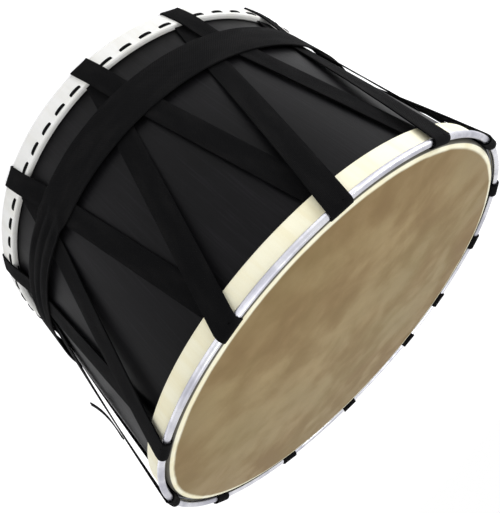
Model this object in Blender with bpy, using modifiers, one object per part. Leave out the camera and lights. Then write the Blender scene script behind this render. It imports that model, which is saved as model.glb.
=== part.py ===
"""Davul: a two-headed bass drum whose skins are drawn tight by one long lacing of flat webbing.

The drum stands on its treble side, with its axis on +Z, its bass skin up and its origin on the
floor. Angles run anticlockwise seen from above, from the front of the drum at -Y. Depths run
from a skin's playing face towards the middle of the drum. Everything is in metres.
"""

import math

import bmesh
import bpy
from mathutils import Matrix, Vector

# Clearance that touching pieces keep.
FIT = 0.0003

# Shell: a bent ply tube with a rounded bearing edge at both ends.
SHELL_OUTER_RADIUS = 0.2560
SHELL_WALL = 0.0080
SHELL_LENGTH = 0.3305
BEARING_ROUND = 0.0045
BEARING_INNER_BEVEL = 0.0018

# Skins: each goes over the bearing edge, down the shell, round its hoop and up the hoop's outside.
SKIN_THICKNESS = 0.0012
FOLD_ROUND = 0.0015
TREBLE_LAP_ROUND = 0.0010
TREBLE_LAP_SETBACK = 0.0008

# Hoops: flat strips that stand clear of the shell, so that the lacing passes inside them. It leans
# on the skin side of its passage.
LACING_PASSAGE = 0.0026
LACING_LEAN = 0.0002
HOOP_THICKNESS = 0.0024
HOOP_EDGE_BEVEL = 0.0007
BASS_HOOP_WIDTH = 0.0186
TREBLE_HOOP_WIDTH = 0.0237
TREBLE_HOOP_PROUD = 0.0010

# Bare steel ring on the front edge of the bass hoop.
RING_ROD_DIAMETER = 0.0070
RING_PROUD = 0.0015
RING_SIDES = 8

# Lacing: one webbing, shown as a run for each crossing of the shell.
LACING_COUNT = 13
LACING_START_DEG = -43.3
BASS_DRIFT_DEG = (0.0, 0.0, 0.0, 3.0, 3.5, 6.0, 11.0, 12.0, 15.0, 5.0, 2.5, -1.0, 0.0)
TREBLE_DRIFT_DEG = (-3.0, -4.0, -2.0, -5.0, -3.0, -3.0, -3.0, -3.0, -3.0, -3.0, -3.0, -3.0, -3.0)
WEBBING_WIDTH = 0.0240
WEBBING_THICKNESS = 0.0014
JOIN_DEPTH = 0.0130
SLIT_END_CLEARANCE = 0.0010
SLIT_SIDE_CLEARANCE = 0.0007
SLIT_LEAD = 0.0010
RUN_STEP = 0.0500

# Belt: a wider webbing round all the runs, gathered into pleats on one stretch.
BELT_WIDTH = 0.0500
BELT_THICKNESS = 0.0016
BELT_LOWER_EDGE = 0.0665
BELT_STEP_DEG = 6.0
BELT_JOIN_DEG = 186.0
BELT_LAP_DEG = 14.0
BELT_LAP_RISE_DEG = 6.0
GATHER_START_DEG = 20.0
GATHER_END_DEG = 62.0
GATHER_BLEND_DEG = 9.0
GATHER_NARROWING = 0.0080
PLEAT_DEPTH = 0.0024
PLEAT_COUNT = 2
BELT_POINTS_ACROSS = 7

# Free end of the lacing, laid on a run and turned up at its tip.
TAIL_RUN = 4
TAIL_HEIGHT = 0.2050
TAIL_LENGTH = 0.0500
TAIL_LIFT = 0.0090
TAIL_TAPER = 0.75
TAIL_TAPER_START = 0.5
TAIL_SEGMENTS = 6

# Turned pieces share one count of facets, so that their flats line up.
FACETS = 60
ROUND_SEGMENTS = 3
FOLD_SEGMENTS = 2
WRAP_SEGMENTS = 5
CORNER_SEGMENTS = 2

# Radii that follow from the stack of pieces, from the shell outwards.
COLLAR_RADIUS = SHELL_OUTER_RADIUS + FIT + SKIN_THICKNESS
HOOP_INNER_RADIUS = COLLAR_RADIUS + LACING_PASSAGE
HOOP_OUTER_RADIUS = HOOP_INNER_RADIUS + HOOP_THICKNESS
LAP_OUTER_RADIUS = HOOP_OUTER_RADIUS + FIT + SKIN_THICKNESS
COLLAR_MIDDLE_RADIUS = COLLAR_RADIUS - SKIN_THICKNESS / 2
LAP_MIDDLE_RADIUS = LAP_OUTER_RADIUS - SKIN_THICKNESS / 2
PASSAGE_RADIUS = COLLAR_RADIUS + LACING_PASSAGE / 2 - LACING_LEAN
INNER_RUN_RADIUS = SHELL_OUTER_RADIUS + FIT + WEBBING_THICKNESS / 2

# Room for the flats: the webbing is flat across its width, and a turned piece between its edges.
WEBBING_SAG = math.hypot(SHELL_OUTER_RADIUS, WEBBING_WIDTH / 2) - SHELL_OUTER_RADIUS
FACET_SAG = LAP_OUTER_RADIUS * (1.0 - math.cos(math.pi / FACETS))

# Radii of the middle of the webbing where one run lies over another, and where the belt holds them.
OUTER_RUN_RADIUS = INNER_RUN_RADIUS + WEBBING_THICKNESS + FIT + WEBBING_SAG
BAND_RUN_RADIUS = LAP_OUTER_RADIUS + FIT + WEBBING_THICKNESS / 2
WEBBING_EDGE_RADIUS = OUTER_RUN_RADIUS + WEBBING_THICKNESS / 2 + WEBBING_SAG
BELT_RADIUS = (WEBBING_EDGE_RADIUS + FIT + BELT_THICKNESS / 2) / math.cos(math.radians(BELT_STEP_DEG) / 2)

# Heights, from the floor up. The drum stands on the webbing that goes round the treble hoop.
TREBLE_HOOP_FACE = WEBBING_THICKNESS + FIT
TREBLE_PLANE = TREBLE_HOOP_FACE + TREBLE_HOOP_PROUD
SHELL_BOTTOM = TREBLE_PLANE + SKIN_THICKNESS + FIT
SHELL_TOP = SHELL_BOTTOM + SHELL_LENGTH
BASS_PLANE = SHELL_TOP + FIT + SKIN_THICKNESS
BELT_UPPER_EDGE = BELT_LOWER_EDGE + BELT_WIDTH

# Depths of the hoops and folds from each playing face.
RING_RADIUS = RING_ROD_DIAMETER / 2
RING_DEPTH = RING_RADIUS - RING_PROUD
RING_WRAP_RADIUS = RING_RADIUS + WEBBING_SAG + FACET_SAG + FIT + WEBBING_THICKNESS / 2
BASS_LAP_TOP_DEPTH = RING_DEPTH + RING_RADIUS + FIT
BASS_FOLD_DEPTH = BASS_LAP_TOP_DEPTH + BASS_HOOP_WIDTH + FIT + SKIN_THICKNESS
TREBLE_HOOP_DEPTH = SKIN_THICKNESS + FIT - TREBLE_HOOP_PROUD
TREBLE_FOLD_DEPTH = TREBLE_HOOP_DEPTH + TREBLE_HOOP_WIDTH + FIT + SKIN_THICKNESS

# Finishes: colour as seen (sRGB), roughness, metallic.
FINISHES = {
    "black_stained_wood": ((0.17, 0.165, 0.175), 0.38, 0.0),
    "tan_skin": ((0.60, 0.51, 0.37), 0.60, 0.0),
    "white_skin": ((0.93, 0.92, 0.89), 0.50, 0.0),
    "galvanised_strip": ((0.62, 0.63, 0.65), 0.45, 1.0),
    "bright_steel": ((0.78, 0.78, 0.82), 0.22, 1.0),
    "black_webbing": ((0.085, 0.085, 0.085), 0.80, 0.0),
    "black_belt_webbing": ((0.10, 0.10, 0.10), 0.80, 0.0),
}


def linear(channel):
    """The scene-linear value of an sRGB channel."""
    if channel <= 0.04045:
        return channel / 12.92
    return ((channel + 0.055) / 1.055) ** 2.4


def finish(name):
    """The material of a finish, made once."""
    material = bpy.data.materials.get(name)
    if material is None:
        colour, roughness, metallic = FINISHES[name]
        material = bpy.data.materials.new(name)
        material.use_nodes = True
        shader = material.node_tree.nodes["Principled BSDF"]
        shader.inputs["Base Color"].default_value = (*(linear(c) for c in colour), 1.0)
        shader.inputs["Roughness"].default_value = roughness
        shader.inputs["Metallic"].default_value = metallic
    return material


def clear_scene():
    """Removes what the scene holds."""
    for old in list(bpy.data.objects):
        bpy.data.objects.remove(old, do_unlink=True)


def new_collection(name):
    """A new collection in the scene."""
    collection = bpy.data.collections.new(name)
    bpy.context.scene.collection.children.link(collection)
    return collection


def new_piece(name, body, collection, finish_name=None):
    """An object made from a bmesh, which is freed."""
    mesh = bpy.data.meshes.new(name)
    body.to_mesh(mesh)
    body.free()
    piece = bpy.data.objects.new(name, mesh)
    if finish_name:
        mesh.materials.append(finish(finish_name))
    collection.objects.link(piece)
    return piece


def heading(angle_deg):
    """The angle about Z, in radians, of a direction given from the front of the drum."""
    return math.radians(angle_deg - 90.0)


def at(angle_deg, radius, height):
    """The point at an angle, radius and height."""
    turn = heading(angle_deg)
    return Vector((radius * math.cos(turn), radius * math.sin(turn), height))


def arc(centre, radius, start_deg, end_deg, segments):
    """Points along an arc in the plane of radius and height or depth."""
    points = []
    for step in range(segments + 1):
        turn = math.radians(start_deg + (end_deg - start_deg) * step / segments)
        points.append((centre[0] + radius * math.cos(turn), centre[1] + radius * math.sin(turn)))
    return points


def turned(name, outline, collection, finish_name, closed=True):
    """A profile turned about Z. A closed outline runs down its outer side, top to bottom."""
    body = bmesh.new()
    points = [body.verts.new((radius, 0.0, height)) for radius, height in outline]
    for first, second in zip(points, points[1:]):
        body.edges.new((first, second))
    if closed:
        body.edges.new((points[-1], points[0]))
    piece = new_piece(name, body, collection, finish_name)
    screw = piece.modifiers.new("Turn", "SCREW")
    screw.angle = math.tau
    screw.steps = FACETS
    screw.render_steps = FACETS
    screw.use_merge_vertices = True
    screw.merge_threshold = 0.00001
    screw.use_smooth_shade = True
    return piece


def thickened(piece, thickness):
    """Gives an open surface its thickness, half on each side."""
    solid = piece.modifiers.new("Thickness", "SOLIDIFY")
    solid.thickness = thickness
    solid.offset = 0.0
    solid.use_even_offset = True
    return piece


def make_shell(parts):
    """The bent tube, rounded outside and bevelled inside at both bearing edges."""
    inner = SHELL_OUTER_RADIUS - SHELL_WALL
    round_centre = SHELL_OUTER_RADIUS - BEARING_ROUND
    top = arc((round_centre, SHELL_TOP - BEARING_ROUND), BEARING_ROUND, 90, 0, ROUND_SEGMENTS)
    bottom = arc((round_centre, SHELL_BOTTOM + BEARING_ROUND), BEARING_ROUND, 0, -90, ROUND_SEGMENTS)
    inside = [
        (inner + BEARING_INNER_BEVEL, SHELL_BOTTOM),
        (inner, SHELL_BOTTOM + BEARING_INNER_BEVEL),
        (inner, SHELL_TOP - BEARING_INNER_BEVEL),
        (inner + BEARING_INNER_BEVEL, SHELL_TOP),
    ]
    return turned("shell", top + bottom + inside, parts, "black_stained_wood")


def hoop_outline(upper, lower):
    """The section of a hoop between two heights, with its edges bevelled."""
    bevel = HOOP_EDGE_BEVEL
    return [
        (HOOP_OUTER_RADIUS - bevel, upper),
        (HOOP_OUTER_RADIUS, upper - bevel),
        (HOOP_OUTER_RADIUS, lower + bevel),
        (HOOP_OUTER_RADIUS - bevel, lower),
        (HOOP_INNER_RADIUS + bevel, lower),
        (HOOP_INNER_RADIUS, lower + bevel),
        (HOOP_INNER_RADIUS, upper - bevel),
        (HOOP_INNER_RADIUS + bevel, upper),
    ]


def make_hoops(parts):
    """The strip hoops that the skins are lapped on."""
    upper = BASS_PLANE - BASS_LAP_TOP_DEPTH
    turned("bass_hoop", hoop_outline(upper, upper - BASS_HOOP_WIDTH), parts, "galvanised_strip")
    lower = TREBLE_PLANE + TREBLE_HOOP_DEPTH
    turned("treble_hoop", hoop_outline(lower + TREBLE_HOOP_WIDTH, lower), parts, "galvanised_strip")


def make_ring(parts):
    """The steel ring on the front edge of the bass hoop, flush over the lapped skin."""
    centre = (LAP_OUTER_RADIUS, BASS_PLANE - RING_DEPTH)
    outline = arc(centre, RING_RADIUS, 90, 90 - 360, RING_SIDES)[:-1]
    turned("bass_ring", outline, parts, "bright_steel")


def skin_route(fold_depth):
    """The middle of a skin from its centre to the outer turn of its fold, as radius and depth."""
    half = SKIN_THICKNESS / 2
    edge_centre = (SHELL_OUTER_RADIUS - BEARING_ROUND, SKIN_THICKNESS + FIT + BEARING_ROUND)
    over_edge = arc(edge_centre, BEARING_ROUND + FIT + half, -90, 0, ROUND_SEGMENTS)
    turn_depth = fold_depth - half - FOLD_ROUND
    inner_turn = arc((COLLAR_MIDDLE_RADIUS + FOLD_ROUND, turn_depth), FOLD_ROUND, 180, 90, FOLD_SEGMENTS)
    outer_turn = arc((LAP_MIDDLE_RADIUS - FOLD_ROUND, turn_depth), FOLD_ROUND, 90, 0, FOLD_SEGMENTS)
    return [(0.0, half)] + over_edge + inner_turn + outer_turn


def treble_lap():
    """The end of the treble skin, which covers the hoop's outside and its rear edge."""
    half = SKIN_THICKNESS / 2
    face_depth = half - TREBLE_HOOP_PROUD
    centre = (LAP_MIDDLE_RADIUS - TREBLE_LAP_ROUND, face_depth + TREBLE_LAP_ROUND)
    corner = arc(centre, TREBLE_LAP_ROUND, 0, -90, FOLD_SEGMENTS)
    return corner + [(HOOP_INNER_RADIUS + TREBLE_LAP_SETBACK, face_depth)]


def make_slit_cutter(name, angles, plane, facing, fold_depth, cutters):
    """Blocks where the lacing passes down through the fold of a skin."""
    body = bmesh.new()
    upper = fold_depth - SKIN_THICKNESS - FOLD_ROUND - SLIT_LEAD
    lower = fold_depth + SLIT_LEAD
    size = Vector((
        WEBBING_THICKNESS + 2 * SLIT_SIDE_CLEARANCE,
        WEBBING_WIDTH + 2 * SLIT_END_CLEARANCE,
        lower - upper,
    ))
    for angle_deg in angles:
        place = Matrix.Translation(at(angle_deg, PASSAGE_RADIUS, plane - facing * (upper + lower) / 2))
        turn = Matrix.Rotation(heading(angle_deg), 4, "Z")
        bmesh.ops.create_cube(body, size=1.0, matrix=place @ turn @ Matrix.Diagonal((*size, 1.0)))
    cutter = new_piece(name, body, cutters)
    cutter.hide_render = True
    cutter.display_type = "WIRE"
    return cutter


def make_head(name, route, plane, facing, finish_name, angles, fold_depth, parts, cutters):
    """A skin turned from its route, with a slit in its fold at each wrap of the lacing."""
    outline = [(radius, plane - facing * depth) for radius, depth in route]
    head = thickened(turned(name, outline, parts, finish_name, closed=False), SKIN_THICKNESS)
    cutter = make_slit_cutter(name + "_slits", angles, plane, facing, fold_depth, cutters)
    cut = head.modifiers.new("Slits", "BOOLEAN")
    cut.operation = "DIFFERENCE"
    cut.solver = "EXACT"
    cut.object = cutter
    return head


def bass_angle(index):
    """The angle of a wrap of the lacing on the bass hoop."""
    turn, place = divmod(index, LACING_COUNT)
    drift = BASS_DRIFT_DEG[place % len(BASS_DRIFT_DEG)]
    return LACING_START_DEG + 360.0 * turn + 360.0 / LACING_COUNT * place + drift


def treble_angle(index):
    """The angle of the wrap on the treble hoop that follows a wrap on the bass hoop."""
    middle = (bass_angle(index) + bass_angle(index + 1)) / 2
    return middle + TREBLE_DRIFT_DEG[index % LACING_COUNT % len(TREBLE_DRIFT_DEG)]


def slanted(start, end):
    """Stations at even steps between two stations, without the first."""
    steps = max(1, math.ceil(abs(end[2] - start[2]) / RUN_STEP))
    stations = []
    for step in range(1, steps + 1):
        share = step / steps
        stations.append(tuple(a + (b - a) * share for a, b in zip(start, end)))
    return stations


def crossing_angle(start, end, height):
    """The angle at a height on the straight way between two stations."""
    share = (height - start[2]) / (end[2] - start[2])
    return start[0] + (end[0] - start[0]) * share


def belt_crossing(start, end, radius):
    """The stations of a run at the lower and upper edges of the belt, which holds it in."""
    return [
        (crossing_angle(start, end, height), radius, height, 0.0)
        for height in (BELT_LOWER_EDGE, BELT_UPPER_EDGE)
    ]


def rising_ends(index):
    """The stations of a rising run below its slit in the treble skin and beside the bass ring."""
    foot, top = treble_angle(index - 1), bass_angle(index)
    below_slit = (foot, PASSAGE_RADIUS, TREBLE_PLANE + TREBLE_FOLD_DEPTH + SLIT_LEAD, 0.0)
    beside_ring = (top, LAP_OUTER_RADIUS + RING_WRAP_RADIUS, BASS_PLANE - RING_DEPTH, 0.0)
    return below_slit, beside_ring


def rising_stretch(index):
    """The stations between which a rising run is drawn straight, from the belt to the ring."""
    below_slit, beside_ring = rising_ends(index)
    return belt_crossing(below_slit, beside_ring, INNER_RUN_RADIUS)[1], beside_ring


def rising_run(index):
    """A run that leaves the treble hoop on its inside and goes over the bass hoop and ring.

    A station is an angle, a radius, a height and the lean of the webbing's outer face, in
    degrees above the outward direction.
    """
    below_slit, beside_ring = rising_ends(index)
    foot, top = below_slit[0], beside_ring[0]
    lower, upper = belt_crossing(below_slit, beside_ring, INNER_RUN_RADIUS)
    stations = [(foot, PASSAGE_RADIUS, TREBLE_PLANE + JOIN_DEPTH + FIT / 2, 0.0), below_slit, lower]
    stations += slanted(lower, upper) + slanted(upper, beside_ring)
    for lean in range(1, WRAP_SEGMENTS + 1):
        turn_deg = 180.0 * lean / WRAP_SEGMENTS
        turn = math.radians(turn_deg)
        radius = LAP_OUTER_RADIUS + RING_WRAP_RADIUS * math.cos(turn)
        height = beside_ring[2] + RING_WRAP_RADIUS * math.sin(turn)
        stations.append((top, radius, height, turn_deg))
    stations.append((top, PASSAGE_RADIUS, BASS_PLANE - BASS_LAP_TOP_DEPTH, 180.0))
    stations.append((top, PASSAGE_RADIUS, BASS_PLANE - JOIN_DEPTH + FIT / 2, 180.0))
    return stations


def falling_run(index):
    """A run that leaves the bass hoop on its inside and goes over the treble hoop."""
    top, foot = bass_angle(index), treble_angle(index)
    half = WEBBING_THICKNESS / 2
    corner = FIT + half + TREBLE_LAP_ROUND
    below_slit = (top, PASSAGE_RADIUS, BASS_PLANE - BASS_FOLD_DEPTH - SLIT_LEAD, 0.0)
    above_floor = (foot, BAND_RUN_RADIUS, half + corner, 0.0)
    lower, upper = belt_crossing(above_floor, below_slit, OUTER_RUN_RADIUS)
    band_edge_height = TREBLE_PLANE + TREBLE_FOLD_DEPTH - FOLD_ROUND
    band_edge = (crossing_angle(above_floor, below_slit, band_edge_height), BAND_RUN_RADIUS,
                 band_edge_height, 0.0)
    stations = [(top, PASSAGE_RADIUS, BASS_PLANE - JOIN_DEPTH - FIT / 2, 0.0), below_slit]
    stations += slanted(below_slit, upper) + slanted(upper, lower)
    stations += slanted(lower, band_edge) + slanted(band_edge, above_floor)
    outer_corner = arc((BAND_RUN_RADIUS - corner, half + corner), corner, 0, -90, CORNER_SEGMENTS)
    inner_corner = arc((PASSAGE_RADIUS + corner, half + corner), corner, -90, -180, CORNER_SEGMENTS)
    turns = [-90.0 * step / CORNER_SEGMENTS for step in range(CORNER_SEGMENTS + 1)]
    for (radius, height), turn in zip(outer_corner[1:], turns[1:]):
        stations.append((foot, radius, height, turn))
    for (radius, height), turn in zip(inner_corner, turns):
        stations.append((foot, radius, height, turn - 90.0))
    stations.append((foot, PASSAGE_RADIUS, TREBLE_PLANE + JOIN_DEPTH - FIT / 2, -180.0))
    return stations


def outer_face(station):
    """The direction that the webbing's outer face looks at a station."""
    angle_deg, _, _, lean_deg = station
    lean = math.radians(lean_deg)
    outward = at(angle_deg, 1.0, 0.0)
    return outward * math.cos(lean) + Vector((0.0, 0.0, math.sin(lean)))


def webbing(name, stations, widths, parts, finish_name):
    """A strip of webbing along its stations, drawn as a surface from edge to edge."""
    middles = [at(*station[:3]) for station in stations]
    body = bmesh.new()
    edge = None
    for index, (station, middle, width) in enumerate(zip(stations, middles, widths)):
        before = middles[max(index - 1, 0)]
        after = middles[min(index + 1, len(middles) - 1)]
        along = (middle - before).normalized() + (after - middle).normalized()
        across = along.cross(outer_face(station)).normalized() * width / 2
        if edge is None:
            ends = [body.verts.new(middle - across), body.verts.new(middle + across)]
            edge = body.edges.new(ends)
            continue
        grown = bmesh.ops.extrude_edge_only(body, edges=[edge])["geom"]
        edge = next(item for item in grown if isinstance(item, bmesh.types.BMEdge))
        ends = nearest_first(edge.verts, ends)
        ends[0].co = middle - across
        ends[1].co = middle + across
    return new_piece(name, body, parts, finish_name)


def nearest_first(found, ends):
    """The new ends of an extruded edge, in the order of the ends that they came from."""
    first, second = found
    if (first.co - ends[0].co).length > (second.co - ends[0].co).length:
        first, second = second, first
    return [first, second]


def make_lacing(parts):
    """Every run of the lacing, rising and falling in turn, in the order that it is pulled."""
    for index in range(LACING_COUNT):
        for place, stations in enumerate((rising_run(index), falling_run(index))):
            name = f"webbing_run_{2 * index + place + 1:02d}"
            widths = [WEBBING_WIDTH] * len(stations)
            thickened(webbing(name, stations, widths, parts, "black_webbing"), WEBBING_THICKNESS)


def make_tail(parts):
    """The free end of the lacing, on the outside of a rising run, with its tip turned up."""
    below, above = rising_stretch(TAIL_RUN)
    stations = []
    widths = []
    for step in range(TAIL_SEGMENTS + 1):
        share = step / TAIL_SEGMENTS
        height = TAIL_HEIGHT + TAIL_LENGTH * (1.0 - share)
        up = (height - below[2]) / (above[2] - below[2])
        angle_deg = below[0] + (above[0] - below[0]) * up
        on_run = below[1] + (above[1] - below[1]) * up + WEBBING_THICKNESS + 2 * FIT
        stations.append((angle_deg, on_run + TAIL_LIFT * share ** 3, height, 0.0))
        widths.append(WEBBING_WIDTH * (1.0 - TAIL_TAPER * max(0.0, share - TAIL_TAPER_START)))
    thickened(webbing("webbing_tail", stations, widths, parts, "black_webbing"), WEBBING_THICKNESS)


def smooth_step(value):
    """A rise from 0 to 1 with level ends."""
    value = min(max(value, 0.0), 1.0)
    return value * value * (3.0 - 2.0 * value)


def gather(angle_deg):
    """How far the belt is gathered at an angle, from 0 to 1."""
    rise = smooth_step((angle_deg - GATHER_START_DEG) / GATHER_BLEND_DEG)
    fall = smooth_step((GATHER_END_DEG - angle_deg) / GATHER_BLEND_DEG)
    return rise * fall


def make_belt(parts):
    """The belt, one turn of webbing whose end laps over its start on the far side."""
    body = bmesh.new()
    middle = BELT_LOWER_EDGE + BELT_WIDTH / 2
    start = BELT_JOIN_DEG - 360.0
    steps = round((360.0 + BELT_LAP_DEG) / BELT_STEP_DEG)
    rows = []
    for step in range(steps + 1):
        turned_deg = (360.0 + BELT_LAP_DEG) * step / steps
        angle_deg = start + turned_deg
        lap = smooth_step((turned_deg - 360.0 + BELT_LAP_RISE_DEG) / BELT_LAP_RISE_DEG)
        gathered = gather(angle_deg)
        width = BELT_WIDTH - GATHER_NARROWING * gathered
        row = []
        for point in range(BELT_POINTS_ACROSS):
            share = point / (BELT_POINTS_ACROSS - 1)
            pleat = PLEAT_DEPTH * gathered * (0.5 - 0.5 * math.cos(math.tau * PLEAT_COUNT * share))
            radius = BELT_RADIUS + pleat + (BELT_THICKNESS + FIT) * lap
            row.append(body.verts.new(at(angle_deg, radius, middle + width * (share - 0.5))))
        rows.append(row)
    for first, second in zip(rows, rows[1:]):
        for low, high in zip(range(BELT_POINTS_ACROSS), range(1, BELT_POINTS_ACROSS)):
            body.faces.new((first[low], second[low], second[high], first[high]))
    thickened(new_piece("belt", body, parts, "black_belt_webbing"), BELT_THICKNESS)


def main():
    """Builds the drum."""
    clear_scene()
    parts = new_collection("davul")
    cutters = new_collection("davul_cutters")
    make_shell(parts)
    make_hoops(parts)
    make_ring(parts)
    bass_wraps = [bass_angle(index) for index in range(LACING_COUNT)]
    treble_wraps = [treble_angle(index) for index in range(LACING_COUNT)]
    bass_route = skin_route(BASS_FOLD_DEPTH) + [(LAP_MIDDLE_RADIUS, BASS_LAP_TOP_DEPTH)]
    treble_route = skin_route(TREBLE_FOLD_DEPTH) + treble_lap()
    make_head("bass_head", bass_route, BASS_PLANE, 1.0, "tan_skin", bass_wraps,
              BASS_FOLD_DEPTH, parts, cutters)
    make_head("treble_head", treble_route, TREBLE_PLANE, -1.0, "white_skin", treble_wraps,
              TREBLE_FOLD_DEPTH, parts, cutters)
    make_lacing(parts)
    make_tail(parts)
    make_belt(parts)


main()
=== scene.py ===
"""A davul as it looks: hide, steel, stained ply and black webbing, on a pale studio floor.

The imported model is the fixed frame. The visual pieces take their radii and heights from its nodes,
and the lacing's wraps from the same driving values as the model. Angles run anticlockwise seen from
above, from the front of the drum at -Y. Everything is in metres.
"""

import logging
import math
from collections.abc import Callable
from collections.abc import Sequence
from dataclasses import dataclass
from dataclasses import field
from enum import Enum

import bmesh
import bpy
from mathutils import Euler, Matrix
from mathutils import Vector
from mathutils import noise


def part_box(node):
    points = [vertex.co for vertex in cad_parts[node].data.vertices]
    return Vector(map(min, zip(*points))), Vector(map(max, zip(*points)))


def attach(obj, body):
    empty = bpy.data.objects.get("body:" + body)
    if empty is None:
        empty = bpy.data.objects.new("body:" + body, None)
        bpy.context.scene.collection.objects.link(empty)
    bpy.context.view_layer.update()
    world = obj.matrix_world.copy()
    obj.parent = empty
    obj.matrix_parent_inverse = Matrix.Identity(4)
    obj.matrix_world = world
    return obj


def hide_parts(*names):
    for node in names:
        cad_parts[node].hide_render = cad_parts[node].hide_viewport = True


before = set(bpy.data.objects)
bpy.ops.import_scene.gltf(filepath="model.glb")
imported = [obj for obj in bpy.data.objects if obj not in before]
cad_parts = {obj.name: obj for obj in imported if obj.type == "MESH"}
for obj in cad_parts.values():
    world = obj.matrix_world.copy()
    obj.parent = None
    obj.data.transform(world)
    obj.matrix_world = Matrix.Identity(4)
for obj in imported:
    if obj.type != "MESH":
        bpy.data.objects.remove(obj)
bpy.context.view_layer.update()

LOG = logging.getLogger("davul")
Colour = tuple[float, float, float, float]
Outline = list[tuple[float, float]]
TURNED_STEPS = 240


class Side(Enum):
    """A playing side of the drum, and the way it faces along Z."""

    BASS = 1.0
    TREBLE = -1.0


class Way(Enum):
    """The way a run of the lacing is pulled."""

    RISING = "rising"
    FALLING = "falling"


def srgb(red: int, green: int, blue: int) -> Colour:
    """A colour as seen, made scene-linear.

    Args:
        red: The red channel, from 0 to 255.
        green: The green channel, from 0 to 255.
        blue: The blue channel, from 0 to 255.

    Returns:
        The linear colour with an alpha of 1.
    """
    channels = []
    for value in (red, green, blue):
        share = value / 255.0
        channels.append(share / 12.92 if share <= 0.04045 else ((share + 0.055) / 1.055) ** 2.4)
    return (channels[0], channels[1], channels[2], 1.0)


def smooth_step(value: float) -> float:
    """A rise from 0 to 1 with level ends."""
    value = min(max(value, 0.0), 1.0)
    return value * value * (3.0 - 2.0 * value)


def at(angle_deg: float, radius: float, height: float) -> Vector:
    """The point at an angle from the front, a radius and a height."""
    turn = math.radians(angle_deg - 90.0)
    return Vector((radius * math.cos(turn), radius * math.sin(turn), height))


def arc(
    centre: tuple[float, float], radius: float, start_deg: float, end_deg: float, segments: int,
) -> Outline:
    """Points along an arc in the plane of radius and height.

    Args:
        centre: The arc's centre.
        radius: The arc's radius.
        start_deg: The angle of the first point.
        end_deg: The angle of the last point.
        segments: How many straight pieces the arc has.

    Returns:
        The points, in order.
    """
    points = []
    for step in range(segments + 1):
        turn = math.radians(start_deg + (end_deg - start_deg) * step / segments)
        points.append((centre[0] + radius * math.cos(turn), centre[1] + radius * math.sin(turn)))
    return points


class Graph:
    """A shader node tree under construction."""

    def __init__(self, tree: bpy.types.NodeTree) -> None:
        """Keeps the tree that the nodes go in."""
        self.tree = tree

    def feed(self, socket: bpy.types.NodeSocket, value: object) -> None:
        """Links a socket to an output, or sets its value.

        Args:
            socket: The input socket.
            value: An output to link, or a plain value.
        """
        if isinstance(value, bpy.types.NodeSocket):
            self.tree.links.new(value, socket)
        else:
            socket.default_value = value

    def add(self, kind: str, inputs: dict | None = None, **settings: object) -> bpy.types.Node:
        """Adds a node.

        Args:
            kind: The node's type.
            inputs: Values or outputs for its input sockets, by name.
            **settings: Its own properties.

        Returns:
            The node.
        """
        node = self.tree.nodes.new(kind)
        for name, value in settings.items():
            setattr(node, name, value)
        for name, value in (inputs or {}).items():
            self.feed(node.inputs[name], value)
        return node

    def math(self, operation: str, *values: object) -> bpy.types.NodeSocket:
        """The result of a Math node on values or outputs.

        Args:
            operation: What the node does.
            *values: Its values or outputs, in order.

        Returns:
            The output.
        """
        node = self.add("ShaderNodeMath", operation=operation)
        for socket, value in zip(node.inputs, values):
            self.feed(socket, value)
        return node.outputs[0]

    def mix(
        self, factor: object, first: object, second: object, blend: str = "MIX",
    ) -> bpy.types.NodeSocket:
        """Two colours mixed by a factor.

        Args:
            factor: The share of the second, as a value or output.
            first: The first colour.
            second: The second colour.
            blend: How they are blended.

        Returns:
            The output.
        """
        node = self.add("ShaderNodeMix", data_type="RGBA", blend_type=blend)
        for index, value in ((0, factor), (6, first), (7, second)):
            self.feed(node.inputs[index], value)
        return node.outputs[2]

    def fit_range(
        self, value: object, low: float, high: float, start: float = 0.0, end: float = 1.0,
        smooth: bool = True,
    ) -> bpy.types.NodeSocket:
        """A value moved from one range to another.

        Args:
            value: The value or output.
            low: Where the new range starts.
            high: Where the new range ends.
            start: The result at the low end.
            end: The result at the high end.
            smooth: Whether the ends are level.

        Returns:
            The output.
        """
        kind = "SMOOTHSTEP" if smooth else "LINEAR"
        names = {"Value": value, "From Min": low, "From Max": high, "To Min": start, "To Max": end}
        return self.add("ShaderNodeMapRange", names, interpolation_type=kind).outputs[0]

    def noise(
        self, vector: object, scale: float, detail: float = 4.0, rough: float = 0.55,
    ) -> bpy.types.NodeSocket:
        """The value of a noise texture."""
        names = {"Vector": vector, "Scale": scale, "Detail": detail, "Roughness": rough}
        return self.add("ShaderNodeTexNoise", names).outputs[0]

    def shift(self, operation: str, inputs: dict) -> bpy.types.NodeSocket:
        """The vector that a Vector Math node makes."""
        return self.add("ShaderNodeVectorMath", inputs, operation=operation).outputs[0]

    def stretched(self, vector: object, scale: tuple[float, float, float]) -> bpy.types.NodeSocket:
        """Coordinates scaled by axis."""
        return self.add("ShaderNodeMapping", {"Vector": vector, "Scale": scale}).outputs[0]


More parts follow.
